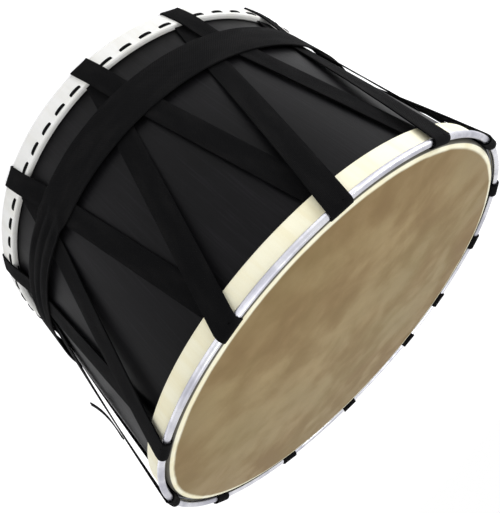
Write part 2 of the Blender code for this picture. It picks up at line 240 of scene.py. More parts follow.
class Effects:
    """Shader node groups that more than one finish uses, each built once."""

    @staticmethod
    def begin(
        name: str, inputs: dict[str, str], outputs: dict[str, str],
    ) -> tuple[Graph, dict, bpy.types.Node]:
        """Starts a group.

        Args:
            name: The group's name.
            inputs: Socket types by input name.
            outputs: Socket types by output name.

        Returns:
            The graph, the outputs of its input node, and its output node.
        """
        tree = bpy.data.node_groups.new(name, "ShaderNodeTree")
        for label, kind in inputs.items():
            tree.interface.new_socket(label, in_out="INPUT", socket_type=kind)
        for label, kind in outputs.items():
            tree.interface.new_socket(label, in_out="OUTPUT", socket_type=kind)
        graph = Graph(tree)
        source = graph.add("NodeGroupInput").outputs
        return graph, {label: source[label] for label in inputs}, graph.add("NodeGroupOutput")

    @staticmethod
    def mottle() -> bpy.types.NodeTree:
        """Two scales of soft patches, as a mask from 0 to 1.

        Returns:
            The node group.
        """
        found = bpy.data.node_groups.get("soft_patches")
        if found:
            return found
        kinds = {"Vector": "NodeSocketVector", "Scale": "NodeSocketFloat", "Warp": "NodeSocketFloat"}
        graph, given, out = Effects.begin("soft_patches", kinds, {"Mask": "NodeSocketFloat"})
        place = given["Vector"]
        scale = given["Scale"]
        swirl = graph.add("ShaderNodeTexNoise", {"Vector": place, "Scale": scale}).outputs[1]
        offset = graph.shift("SUBTRACT", {0: swirl, 1: (0.5, 0.5, 0.5)})
        push = graph.shift("SCALE", {0: offset, "Scale": given["Warp"]})
        moved = graph.shift("ADD", {0: place, 1: push})
        large = graph.add("ShaderNodeTexNoise", {"Vector": moved, "Scale": scale, "Detail": 3.0}).outputs[0]
        finer = graph.math("MULTIPLY", scale, 4.3)
        small = graph.add("ShaderNodeTexNoise", {"Vector": moved, "Scale": finer, "Detail": 5.0}).outputs[0]
        total = graph.math("ADD", graph.math("MULTIPLY", large, 0.65), graph.math("MULTIPLY", small, 0.35))
        graph.feed(out.inputs["Mask"], graph.fit_range(total, 0.36, 0.64))
        return graph.tree

    @staticmethod
    def weave() -> bpy.types.NodeTree:
        """Ribs of a close woven webbing, from a strip's own metres across and along it.

        Returns:
            The node group.
        """
        found = bpy.data.node_groups.get("webbing_weave")
        if found:
            return found
        kinds = {"Strip": "NodeSocketVector", "Rib": "NodeSocketFloat", "Pick": "NodeSocketFloat"}
        results = {"Height": "NodeSocketFloat", "ValleyShade": "NodeSocketFloat", "Drift": "NodeSocketFloat"}
        graph, given, out = Effects.begin("webbing_weave", kinds, results)
        parts = graph.add("ShaderNodeSeparateXYZ", {0: given["Strip"]}).outputs
        ribs = graph.math("DIVIDE", parts[0], given["Rib"])
        picks = graph.math("DIVIDE", parts[1], given["Pick"])
        shift = graph.math("MULTIPLY", graph.math("FLOOR", ribs), 0.5)
        along = graph.math("MULTIPLY", graph.math("ADD", picks, shift), math.tau)
        float_up = graph.math("ADD", graph.math("MULTIPLY", graph.math("SINE", along), 0.5), 0.5)
        crown = graph.math("ABSOLUTE", graph.math("SINE", graph.math("MULTIPLY", ribs, math.pi)))
        height = graph.math("MULTIPLY", graph.math("POWER", crown, 0.6), graph.math("ADD", float_up, 0.6))
        graph.feed(out.inputs["Height"], height)
        # Painted shade: how deep a point lies between the ribs, used to darken the colour there.
        graph.feed(out.inputs["ValleyShade"], graph.fit_range(crown, 0.45, 0.0))
        slow = graph.stretched(given["Strip"], (60.0, 14.0, 1.0))
        graph.feed(out.inputs["Drift"], graph.noise(slow, 1.0, 5.0, 0.6))
        return graph.tree

    @staticmethod
    def streaks() -> bpy.types.NodeTree:
        """Fine streaks along Z, for wood grain and for the pull of a lapped skin.

        Returns:
            The node group.
        """
        found = bpy.data.node_groups.get("upright_streaks")
        if found:
            return found
        kinds = {"Vector": "NodeSocketVector", "Fineness": "NodeSocketFloat"}
        results = {"Broad": "NodeSocketFloat", "Fine": "NodeSocketFloat"}
        graph, given, out = Effects.begin("upright_streaks", kinds, results)
        broad = graph.stretched(given["Vector"], (1.0, 1.0, 0.07))
        fine = graph.stretched(given["Vector"], (1.0, 1.0, 0.025))
        graph.feed(out.inputs["Broad"], graph.noise(broad, 38.0, 6.0, 0.6))
        graph.feed(out.inputs["Fine"], graph.noise(fine, given["Fineness"], 4.0, 0.7))
        return graph.tree


@dataclass(frozen=True)
class Finish:
    """What every finish of the drum shares.

    Attributes:
        name: The material's name.
    """

    name: str

    def start(self) -> tuple[bpy.types.Material, Graph, bpy.types.Node]:
        """A new material, its graph and its main shader.

        Returns:
            The three, in that order.
        """
        material = bpy.data.materials.new(self.name)
        material.use_nodes = True
        graph = Graph(material.node_tree)
        return material, graph, material.node_tree.nodes["Principled BSDF"]

    def group(self, graph: Graph, tree: bpy.types.NodeTree, inputs: dict) -> bpy.types.Node:
        """Places a shared effect in a material.

        Args:
            graph: The material's graph.
            tree: The effect.
            inputs: Values or outputs for its inputs, by name.

        Returns:
            The group node.
        """
        node = graph.add("ShaderNodeGroup")
        node.node_tree = tree
        for name, value in inputs.items():
            graph.feed(node.inputs[name], value)
        return node

    def bump(
        self, graph: Graph, shader: bpy.types.Node, height: object, distance: float, strength: float,
    ) -> None:
        """Feeds a height to the shader's normal."""
        names = {"Height": height, "Distance": distance, "Strength": strength}
        graph.feed(shader.inputs["Normal"], graph.add("ShaderNodeBump", names).outputs[0])


@dataclass(frozen=True)
class Hide(Finish):
    """A drum skin: a mottled field inside the bearing edge, and paler hide outside it.

    Attributes:
        field_light: The field's lighter patches.
        field_dark: Its darker patches.
        field_cast: The greenish cast of some patches.
        band: The lapped skin and the rim.
        band_warm: The rim's and lap's warmer patches.
        field_radius: Where the field ends.
        shade: How much darker the field is near its end.
        shade_reach: The stretch of radius in which it darkens.
        groove: The inner and outer radius of the groove between the rim and the hoop, painted dark as its
            shade.
        groove_blur: How softly the painted shade ends, each way.
        groove_shade: How much of the painted shade lies there.
        groove_shade_colour: The painted shade's colour.
        patch_scale: How fine the field's patches are.
        cast_scale: How fine the greenish patches are.
        cast_share: How strong they are.
        vein_scale: How fine the veins are.
        vein_share: How strong they are.
        pore_scale: How fine the pores are.
        pull_fineness: How fine the wrinkles of the lapped skin are.
        wander: How far the field's end strays from a true round.
        level: How strongly the skin reflects.
    """

    field_light: Colour = srgb(152, 130, 86)
    field_dark: Colour = srgb(122, 98, 59)
    field_cast: Colour = srgb(128, 114, 70)
    band: Colour = srgb(249, 246, 222)
    band_warm: Colour = srgb(240, 231, 192)
    field_radius: float = 0.2495
    shade: float = 0.28
    shade_reach: float = 0.075
    groove: tuple[float, float] = (0.2549, 0.2606)
    groove_blur: float = 0.0004
    groove_shade: float = 0.9
    groove_shade_colour: Colour = srgb(30, 27, 25)
    patch_scale: float = 7.0
    cast_scale: float = 3.1
    cast_share: float = 0.55
    vein_scale: float = 26.0
    vein_share: float = 0.14
    pore_scale: float = 1300.0
    pull_fineness: float = 240.0
    wander: float = 0.0016
    level: float = 0.3

    def build(self) -> bpy.types.Material:
        """Builds the finish.

        Returns:
            The material.
        """
        material, graph, shader = self.start()
        place = graph.add("ShaderNodeTexCoord").outputs["Object"]
        parts = graph.add("ShaderNodeSeparateXYZ", {0: place}).outputs
        squares = graph.math("ADD", graph.math("POWER", parts[0], 2.0), graph.math("POWER", parts[1], 2.0))
        radius = graph.math("SQRT", squares)
        large = {"Vector": place, "Scale": self.patch_scale, "Warp": 0.06}
        patches = self.group(graph, Effects.mottle(), large).outputs[0]
        broad = {"Vector": place, "Scale": self.cast_scale, "Warp": 0.12}
        cast = self.group(graph, Effects.mottle(), broad).outputs[0]
        pull = self.group(graph, Effects.streaks(), {"Vector": place, "Fineness": self.pull_fineness})
        pores = graph.noise(place, self.pore_scale, 3.0, 0.7)
        veins = graph.fit_range(graph.noise(place, self.vein_scale, 9.0, 0.72), 0.44, 0.56)
        ground = graph.mix(patches, self.field_dark, self.field_light)
        ground = graph.mix(graph.math("MULTIPLY", cast, self.cast_share), ground, self.field_cast)
        ground = graph.mix(graph.math("MULTIPLY", veins, self.vein_share), ground, self.field_dark)
        near_rim = graph.fit_range(radius, self.field_radius - self.shade_reach, self.field_radius)
        shade = graph.math("MULTIPLY", graph.math("MULTIPLY", near_rim, near_rim), self.shade)
        ground = graph.mix(shade, ground, self.field_dark)
        warm = graph.math("MULTIPLY", graph.fit_range(pull.outputs["Broad"], 0.35, 0.7), 0.8)
        rim = graph.mix(warm, self.band, self.band_warm)
        stray = graph.math("MULTIPLY", graph.math("SUBTRACT", patches, 0.5), self.wander)
        edge = graph.math("ADD", radius, stray)
        outside = graph.fit_range(edge, self.field_radius - 0.0012, self.field_radius + 0.0022)
        both = graph.mix(outside, ground, rim)
        # Painted shade: a dark ring at the groove's radii stands for the shadow deep in the gap between the
        # rim and the hoop.
        inner, outer = self.groove
        entering = graph.fit_range(radius, inner - self.groove_blur, inner + self.groove_blur)
        leaving = graph.fit_range(radius, outer - self.groove_blur, outer + self.groove_blur)
        groove_shade = graph.math("MULTIPLY", graph.math("SUBTRACT", entering, leaving), self.groove_shade)
        both = graph.mix(groove_shade, both, self.groove_shade_colour)
        tone = graph.math("ADD", 0.93, graph.math("MULTIPLY", pores, 0.12))
        tone_colour = graph.add("ShaderNodeCombineColor", {0: tone, 1: tone, 2: tone}).outputs[0]
        graph.feed(shader.inputs["Base Color"], graph.mix(1.0, both, tone_colour, "MULTIPLY"))
        graph.feed(shader.inputs["Roughness"], graph.fit_range(patches, 0.0, 1.0, 0.62, 0.5))
        wrinkle = graph.math("MULTIPLY", graph.math("MULTIPLY", pull.outputs["Fine"], outside), 0.8)
        relief = graph.math("ADD", graph.math("MULTIPLY", pores, 0.25), wrinkle)
        self.bump(graph, shader, relief, 0.0006, 0.35)
        shader.inputs["Specular IOR Level"].default_value = self.level
        return material


@dataclass(frozen=True)
class StainedPly(Finish):
    """Ply stained black under a satin lacquer, its grain along the drum's axis.

    Attributes:
        stain: The stain's own colour.
        worn: The colour where the grain shows.
        level: How strongly the lacquer reflects.
        fineness: How fine the grain is.
        cloud_scale: How fine the cloudy patches are.
        smoothness: The roughness where it is brightest.
    """

    stain: Colour = srgb(8, 8, 9)
    worn: Colour = srgb(26, 25, 28)
    level: float = 0.08
    fineness: float = 420.0
    cloud_scale: float = 5.0
    smoothness: float = 0.34

    def build(self) -> bpy.types.Material:
        """Builds the finish.

        Returns:
            The material.
        """
        material, graph, shader = self.start()
        place = graph.add("ShaderNodeTexCoord").outputs["Object"]
        grain = self.group(graph, Effects.streaks(), {"Vector": place, "Fineness": self.fineness})
        soft = {"Vector": place, "Scale": self.cloud_scale, "Warp": 0.05}
        clouds = self.group(graph, Effects.mottle(), soft).outputs[0]
        lines = graph.math("MULTIPLY", graph.fit_range(grain.outputs["Fine"], 0.48, 0.72), 0.55)
        amount = graph.math("ADD", lines, graph.math("MULTIPLY", clouds, 0.25))
        graph.feed(shader.inputs["Base Color"], graph.mix(amount, self.stain, self.worn))
        rough = graph.math("ADD", graph.math("MULTIPLY", grain.outputs["Broad"], 0.16), self.smoothness)
        rough = graph.math("ADD", rough, graph.math("MULTIPLY", clouds, 0.05))
        graph.feed(shader.inputs["Roughness"], rough)
        self.bump(graph, shader, grain.outputs["Fine"], 0.0004, 0.3)
        shader.inputs["Specular IOR Level"].default_value = self.level
        return material


@dataclass(frozen=True)
class Steel(Finish):
    """Plain or bright steel with fine drawn scratches.

    Attributes:
        tint: The metal's colour.
        dull: Its colour in duller patches.
        smoothness: The roughness where it is brightest.
        roughness: The roughness where it is dullest.
        patch_scale: How fine the duller patches are.
        scratch_scale: How fine the scratches are.
    """

    tint: Colour = srgb(222, 222, 228)
    dull: Colour = srgb(176, 176, 186)
    smoothness: float = 0.2
    roughness: float = 0.42
    patch_scale: float = 16.0
    scratch_scale: float = 260.0

    def build(self) -> bpy.types.Material:
        """Builds the finish.

        Returns:
            The material.
        """
        material, graph, shader = self.start()
        place = graph.add("ShaderNodeTexCoord").outputs["Object"]
        soft = {"Vector": place, "Scale": self.patch_scale, "Warp": 0.02}
        patches = self.group(graph, Effects.mottle(), soft).outputs[0]
        scratches = graph.noise(graph.stretched(place, (1.0, 1.0, 9.0)), self.scratch_scale, 5.0, 0.7)
        graph.feed(shader.inputs["Base Color"], graph.mix(patches, self.tint, self.dull))
        rough = graph.fit_range(patches, 0.0, 1.0, self.smoothness, self.roughness)
        uneven = graph.math("MULTIPLY", graph.math("SUBTRACT", scratches, 0.5), 0.16)
        rough = graph.math("ADD", rough, uneven)
        graph.feed(shader.inputs["Roughness"], rough)
        self.bump(graph, shader, scratches, 0.0002, 0.25)
        shader.inputs["Metallic"].default_value = 1.0
        return material


@dataclass(frozen=True)
class BlackWeb(Finish):
    # The treble skin's groove gets only a faint painted shade.
    """Close woven black webbing or lace, with ribs along it.

    Attributes:
        thread: The colour of a thread's crown.
        valley_shade: The painted shade between threads.
        dusty: The colour of handled, dusty patches.
        rib: The width of a rib.
        pick: The length of a float along a rib.
        sheen: How much the fibres catch the light at a slant.
        level: How strongly the threads reflect.
        fuzz_scale: How fine the fibres' fuzz is.
    """

    thread: Colour = srgb(14, 14, 15)
    valley_shade: Colour = srgb(4, 4, 5)
    dusty: Colour = srgb(28, 27, 27)
    rib: float = 0.0012
    pick: float = 0.0019
    sheen: float = 0.01
    level: float = 0.03
    fuzz_scale: float = 2600.0

    def build(self) -> bpy.types.Material:
        """Builds the finish.

        Returns:
            The material.
        """
        material, graph, shader = self.start()
        strip = graph.add("ShaderNodeUVMap", uv_map="strip").outputs[0]
        inputs = {"Strip": strip, "Rib": self.rib, "Pick": self.pick}
        weave = self.group(graph, Effects.weave(), inputs)
        place = graph.add("ShaderNodeTexCoord").outputs["Object"]
        fuzz = graph.noise(place, self.fuzz_scale, 2.0, 0.8)
        # Painted shade: the valleys between threads are darkened toward the painted shade colour.
        base = graph.mix(graph.math("MULTIPLY", weave.outputs["ValleyShade"], 0.75), self.thread, self.valley_shade)
        dust = graph.fit_range(weave.outputs["Drift"], 0.42, 0.74)
        dust = graph.math("MULTIPLY", graph.math("MULTIPLY", dust, fuzz), 0.8)
        base = graph.mix(dust, base, self.dusty)
        graph.feed(shader.inputs["Base Color"], base)
        graph.feed(shader.inputs["Roughness"], graph.fit_range(weave.outputs["Drift"], 0.2, 0.8, 0.92, 0.76))
        relief = graph.math("ADD", weave.outputs["Height"], graph.math("MULTIPLY", fuzz, 0.35))
        self.bump(graph, shader, relief, 0.0004, 0.55)
        shader.inputs["Specular IOR Level"].default_value = self.level
        shader.inputs["Sheen Weight"].default_value = self.sheen
        shader.inputs["Sheen Roughness"].default_value = 0.5
        return material


@dataclass(frozen=True)
class Paper(Finish):
    """The pale floor, which looks white to the camera and keeps the drum's shadow.

    Attributes:
        tone: The floor's colour.
        lift: The light that it adds for the camera and for reflections.
    """

    tone: Colour = srgb(238, 238, 240)
    lift: float = 0.5

    def build(self) -> bpy.types.Material:
        """Builds the finish.

        Returns:
            The material.
        """
        material, graph, shader = self.start()
        path = graph.add("ShaderNodeLightPath").outputs
        seen = graph.math("MAXIMUM", path["Is Camera Ray"], path["Is Glossy Ray"])
        seen = graph.math("MAXIMUM", seen, path["Is Transmission Ray"])
        shader.inputs["Base Color"].default_value = self.tone
        shader.inputs["Roughness"].default_value = 0.9
        shader.inputs["Specular IOR Level"].default_value = 0.0
        shader.inputs["Emission Color"].default_value = (1.0, 1.0, 1.0, 1.0)
        graph.feed(shader.inputs["Emission Strength"], graph.math("MULTIPLY", seen, self.lift))
        return material


def piece_from(body: bmesh.types.BMesh, name: str, material: bpy.types.Material) -> bpy.types.Object:
    """An object made from a bmesh, which is freed.

    Args:
        body: The shape, in place.
        name: The piece's name.
        material: Its finish.

    Returns:
        The object, at the origin and smooth.
    """
    mesh = bpy.data.meshes.new(name)
    body.to_mesh(mesh)
    body.free()
    mesh.materials.append(material)
    mesh.shade_smooth()
    piece = bpy.data.objects.new(name, mesh)
    bpy.context.scene.collection.objects.link(piece)
    return piece


def spun(outline: Outline, closed: bool) -> bmesh.types.BMesh:
    """A profile spun once round Z.

    Args:
        outline: The profile's radii and heights.
        closed: Whether its last point joins its first.

    Returns:
        The shape, with its seam and pole merged and its faces pointing out.
    """
    body = bmesh.new()
    verts = [body.verts.new((radius, 0.0, height)) for radius, height in outline]
    pairs = list(zip(verts, verts[1:]))
    if closed:
        pairs.append((verts[-1], verts[0]))
    edges = [body.edges.new(pair) for pair in pairs]
    bmesh.ops.spin(body, geom=verts + edges, cent=(0, 0, 0), axis=(0, 0, 1), angle=math.tau,
                   steps=TURNED_STEPS, use_merge=True)
    bmesh.ops.remove_doubles(body, verts=body.verts[:], dist=0.000005)
    bmesh.ops.recalc_face_normals(body, faces=body.faces[:])
    return body


def ribbon(rows: int, columns: int, place: Callable[[int, int], Vector]) -> bmesh.types.BMesh:
    """A strip laid from a grid, with its own metres across and along it as a UV map.

    Args:
        rows: How many steps it has along its length.
        columns: How many steps it has across.
        place: The point of a row and a column.

    Returns:
        The open strip.
    """
    body = bmesh.new()
    bmesh.ops.create_grid(body, x_segments=columns, y_segments=rows, size=0.5)
    measure = body.verts.layers.float_vector.new("measure")
    points = [[place(row, column) for column in range(columns + 1)] for row in range(rows + 1)]
    along = [0.0]
    for before, after in zip(points, points[1:]):
        along.append(along[-1] + (after[columns // 2] - before[columns // 2]).length)
    for vert in body.verts:
        row = round((vert.co.y + 0.5) * rows)
        column = round((vert.co.x + 0.5) * columns)
        across = (points[row][column] - points[row][0]).length
        vert.co = points[row][column]
        vert[measure] = Vector((across, along[row], 0.0))
    layer = body.loops.layers.uv.new("strip")
    for face in body.faces:
        for loop in face.loops:
            loop[layer].uv = loop.vert[measure].xy
    return body


def thicken(piece: bpy.types.Object, thickness: float, edge: float) -> bpy.types.Object:
    """Gives an open piece its thickness, half on each side, and rounds its edges.

    Args:
        piece: The piece.
        thickness: Its thickness.
        edge: The radius of its edges.

    Returns:
        The same piece.
    """
    solid = piece.modifiers.new("Thickness", "SOLIDIFY")
    solid.thickness = thickness
    solid.offset = 0.0
    bevel = piece.modifiers.new("Edges", "BEVEL")
    bevel.width = edge
    bevel.segments = 2
    bevel.limit_method = "ANGLE"
    bevel.angle_limit = math.radians(50.0)
    return piece


def dress(piece: bpy.types.Object, slot: str, *nodes: str) -> None:
    """Puts a piece on the drum in the place of CAD nodes.

    Args:
        piece: The piece.
        slot: Not used.
        *nodes: The nodes it stands for.
    """
    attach(piece, "root")
    if nodes:
        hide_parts(*nodes)
    faces = len(piece.data.polygons)
    LOG.info("%s: %d faces, stands for %s", piece.name, faces, ", ".join(nodes) or "nothing")


@dataclass
class Stack:
    """The radii and heights that the pieces share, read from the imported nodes.

    Attributes:
        fit: The clearance of touching pieces.
        skin: The skins' thickness.
        bearing_round: The round of the shell's bearing edges.
        hoop_proud: How far the treble hoop stands past its skin.
        passage: The room for the lacing inside the hoops.
        lean: How far the lacing leans to the skin in that room.
        web: The lacing's thickness.
        web_width: The lacing's width.
        shell_radius: The shell's outer radius.
        shell_bottom: The height of its lower end.
        shell_top: The height of its upper end.
        bass_plane: The height of the bass playing face.
        treble_plane: The height of the treble playing face.
        lap_radius: The outside of a skin's lap.
        bass_fold: The height of the bass skin's fold.
        treble_fold: The height of the treble skin's fold.
        ring_radius: The radius of the steel ring's rod.
        ring_height: The height of its middle.
        belt_low: The height of the belt's lower edge.
        belt_high: The height of its upper edge.
    """

    fit: float = 0.0003
    skin: float = 0.0012
    bearing_round: float = 0.0045
    hoop_proud: float = 0.0010
    passage: float = 0.0026
    lean: float = 0.0002
    web: float = 0.0014
    web_width: float = 0.0240
    shell_radius: float = field(init=False)
    shell_bottom: float = field(init=False)
    shell_top: float = field(init=False)
    bass_plane: float = field(init=False)
    treble_plane: float = field(init=False)
    lap_radius: float = field(init=False)
    bass_fold: float = field(init=False)
    treble_fold: float = field(init=False)
    ring_radius: float = field(init=False)
    ring_height: float = field(init=False)
    belt_low: float = field(init=False)
    belt_high: float = field(init=False)

    def __post_init__(self) -> None:
        """Reads the nodes' boxes."""
        low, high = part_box("shell")
        self.shell_radius = high[0]
        self.shell_bottom = low[2]
        self.shell_top = high[2]
        low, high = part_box("bass_head")
        self.lap_radius = high[0]
        self.bass_fold = low[2]
        self.bass_plane = high[2]
        low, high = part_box("treble_head")
        self.treble_plane = low[2] + self.hoop_proud
        self.treble_fold = high[2]
        low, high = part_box("bass_ring")
        self.ring_radius = (high[2] - low[2]) / 2
        self.ring_height = (high[2] + low[2]) / 2
        low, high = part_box("belt")
        self.belt_low = low[2]
        self.belt_high = high[2]

    @property
    def collar_radius(self) -> float:
        """The outside of the skin that lies on the shell."""
        return self.shell_radius + self.fit + self.skin

    @property
    def passage_radius(self) -> float:
        """The middle of the lacing where it passes inside a hoop."""
        return self.collar_radius + self.passage / 2 - self.lean

    @property
    def web_sag(self) -> float:
        """How much further out the lacing's edges lie than its middle."""
        return math.hypot(self.shell_radius, self.web_width / 2) - self.shell_radius

    @property
    def inner_run(self) -> float:
        """The middle of a run that lies on the shell."""
        return self.shell_radius + self.fit + self.web / 2

    @property
    def outer_run(self) -> float:
        """The middle of a run that lies over another."""
        return self.inner_run + self.web + self.fit + self.web_sag

    @property
    def band_run(self) -> float:
        """The middle of a run on a lapped skin."""
        return self.lap_radius + self.fit + self.web / 2

    @property
    def ring_wrap(self) -> float:
        """The radius of the lacing's turn over the ring."""
        return self.ring_radius + self.web_sag + 2 * self.fit + self.web / 2


@dataclass
class Shell:
    """The stained ply tube.

    Attributes:
        stack: The shared sizes.
        wall: The ply's thickness.
        inner_bevel: The bevel inside both bearing edges.
        round_segments: The steps of a bearing edge's round.
    """

    stack: Stack
    wall: float = 0.0080
    inner_bevel: float = 0.0018
    round_segments: int = 10

    def outline(self) -> Outline:
        """The wall's section, down its outer side.

        Returns:
            The section as radius and height, closed.
        """
        stack = self.stack
        inner = stack.shell_radius - self.wall
        centre = stack.shell_radius - stack.bearing_round
        turn = stack.bearing_round
        points = arc((centre, stack.shell_top - turn), turn, 90, 0, self.round_segments)
        points += arc((centre, stack.shell_bottom + turn), turn, 0, -90, self.round_segments)
        points += [
            (inner + self.inner_bevel, stack.shell_bottom),
            (inner, stack.shell_bottom + self.inner_bevel),
            (inner, stack.shell_top - self.inner_bevel),
            (inner + self.inner_bevel, stack.shell_top),
        ]
        return points

    def build(self, finish: bpy.types.Material) -> None:
        """Builds and places the shell."""
        dress(piece_from(spun(self.outline(), True), "stained_shell", finish), "shell_wood", "shell")


@dataclass
class Skin:
    """A skin over its bearing edge, down the shell, round its hoop and up the hoop's outside.

    Attributes:
        stack: The shared sizes.
        side: The playing side.
        fold_round: The round of the fold under the hoop.
        lap_round: The round where the treble lap turns over the hoop's rear edge.
        lap_reach: How far that lap covers the rear edge, from the lap's outside.
        segments: The steps of each round.
    """

    stack: Stack
    side: Side
    fold_round: float = 0.0015
    lap_round: float = 0.0010
    lap_reach: float = 0.0031
    segments: int = 8

    def depth_of(self, height: float) -> float:
        """How deep a height lies from the playing face."""
        plane = self.stack.bass_plane if self.side is Side.BASS else self.stack.treble_plane
        return (plane - height) * self.side.value

    def route(self) -> Outline:
        """The middle of the skin from the centre to the end of its lap, as radius and depth.

        Returns:
            The points, in order.
        """
        stack = self.stack
        half = stack.skin / 2
        fold = self.depth_of(stack.bass_fold if self.side is Side.BASS else stack.treble_fold)
        lap_middle = stack.lap_radius - half
        collar_middle = stack.collar_radius - half
        edge_depth = stack.skin + stack.fit + stack.bearing_round
        edge_centre = (stack.shell_radius - stack.bearing_round, edge_depth)
        turn_depth = fold - half - self.fold_round
        points = [(0.0, half)]
        points += arc(edge_centre, stack.bearing_round + stack.fit + half, -90, 0, self.segments)
        for centre, start in ((collar_middle + self.fold_round, 180), (lap_middle - self.fold_round, 90)):
            points += arc((centre, turn_depth), self.fold_round, start, start - 90, self.segments)
        if self.side is Side.BASS:
            lap_top = self.depth_of(stack.ring_height - stack.ring_radius - stack.fit)
            return points + [(lap_middle, lap_top)]
        face = half - stack.hoop_proud
        corner = (lap_middle - self.lap_round, face + self.lap_round)
        points += arc(corner, self.lap_round, 0, -90, self.segments)
        return points + [(stack.lap_radius - self.lap_reach, face)]

    def build(self, finish: bpy.types.Material) -> None:
        """Builds and places the skin.

        Args:
            finish: The skin's finish.
        """
        stack = self.stack
        plane = stack.bass_plane if self.side is Side.BASS else stack.treble_plane
        outline = [(radius, plane - self.side.value * depth) for radius, depth in self.route()]
        name = "bass" if self.side is Side.BASS else "treble"
        piece = piece_from(spun(outline, False), f"{name}_hide", finish)
        thicken(piece, stack.skin, stack.skin / 4)
        dress(piece, f"{name}_skin", f"{name}_head")


@dataclass
class Ring:
    """The bright steel ring in front of the bass hoop.

    Attributes:
        stack: The shared sizes.
        sides: The steps round the rod.
    """

    stack: Stack
    sides: int = 20

    def build(self, finish: bpy.types.Material) -> None:
        """Builds and places the ring.

        Args:
            finish: The ring's finish.
        """
        stack = self.stack
        centre = (stack.lap_radius, stack.ring_height)
        outline = arc(centre, stack.ring_radius, 90, 90 - 360, self.sides)[:-1]
        dress(piece_from(spun(outline, True), "steel_ring", finish), "ring_steel", "bass_ring")


@dataclass(frozen=True)
class Station:
    """A place on a run of webbing.

    Attributes:
        angle: The angle from the front, in degrees.
        radius: The radius of the webbing's middle.
        height: Its height.
        lean: How far its outer face is turned up from outward, in degrees.
    """

    angle: float
    radius: float
    height: float
    lean: float = 0.0

    def point(self) -> Vector:
        """The station as a point."""
        return at(self.angle, self.radius, self.height)

    def outer_face(self) -> Vector:
        """The direction that the webbing's outer face looks."""
        lean = math.radians(self.lean)
        return at(self.angle, 1.0, 0.0) * math.cos(lean) + Vector((0.0, 0.0, math.sin(lean)))

    def toward(self, other: "Station", share: float) -> "Station":
        """The station at a share of the way to another.

        Args:
            other: The other station.
            share: The share of the way, from 0 to 1.

        Returns:
            The station between them.
        """
        return Station(
            self.angle + (other.angle - self.angle) * share,
            self.radius + (other.radius - self.radius) * share,
            self.height + (other.height - self.height) * share,
            self.lean + (other.lean - self.lean) * share,
        )


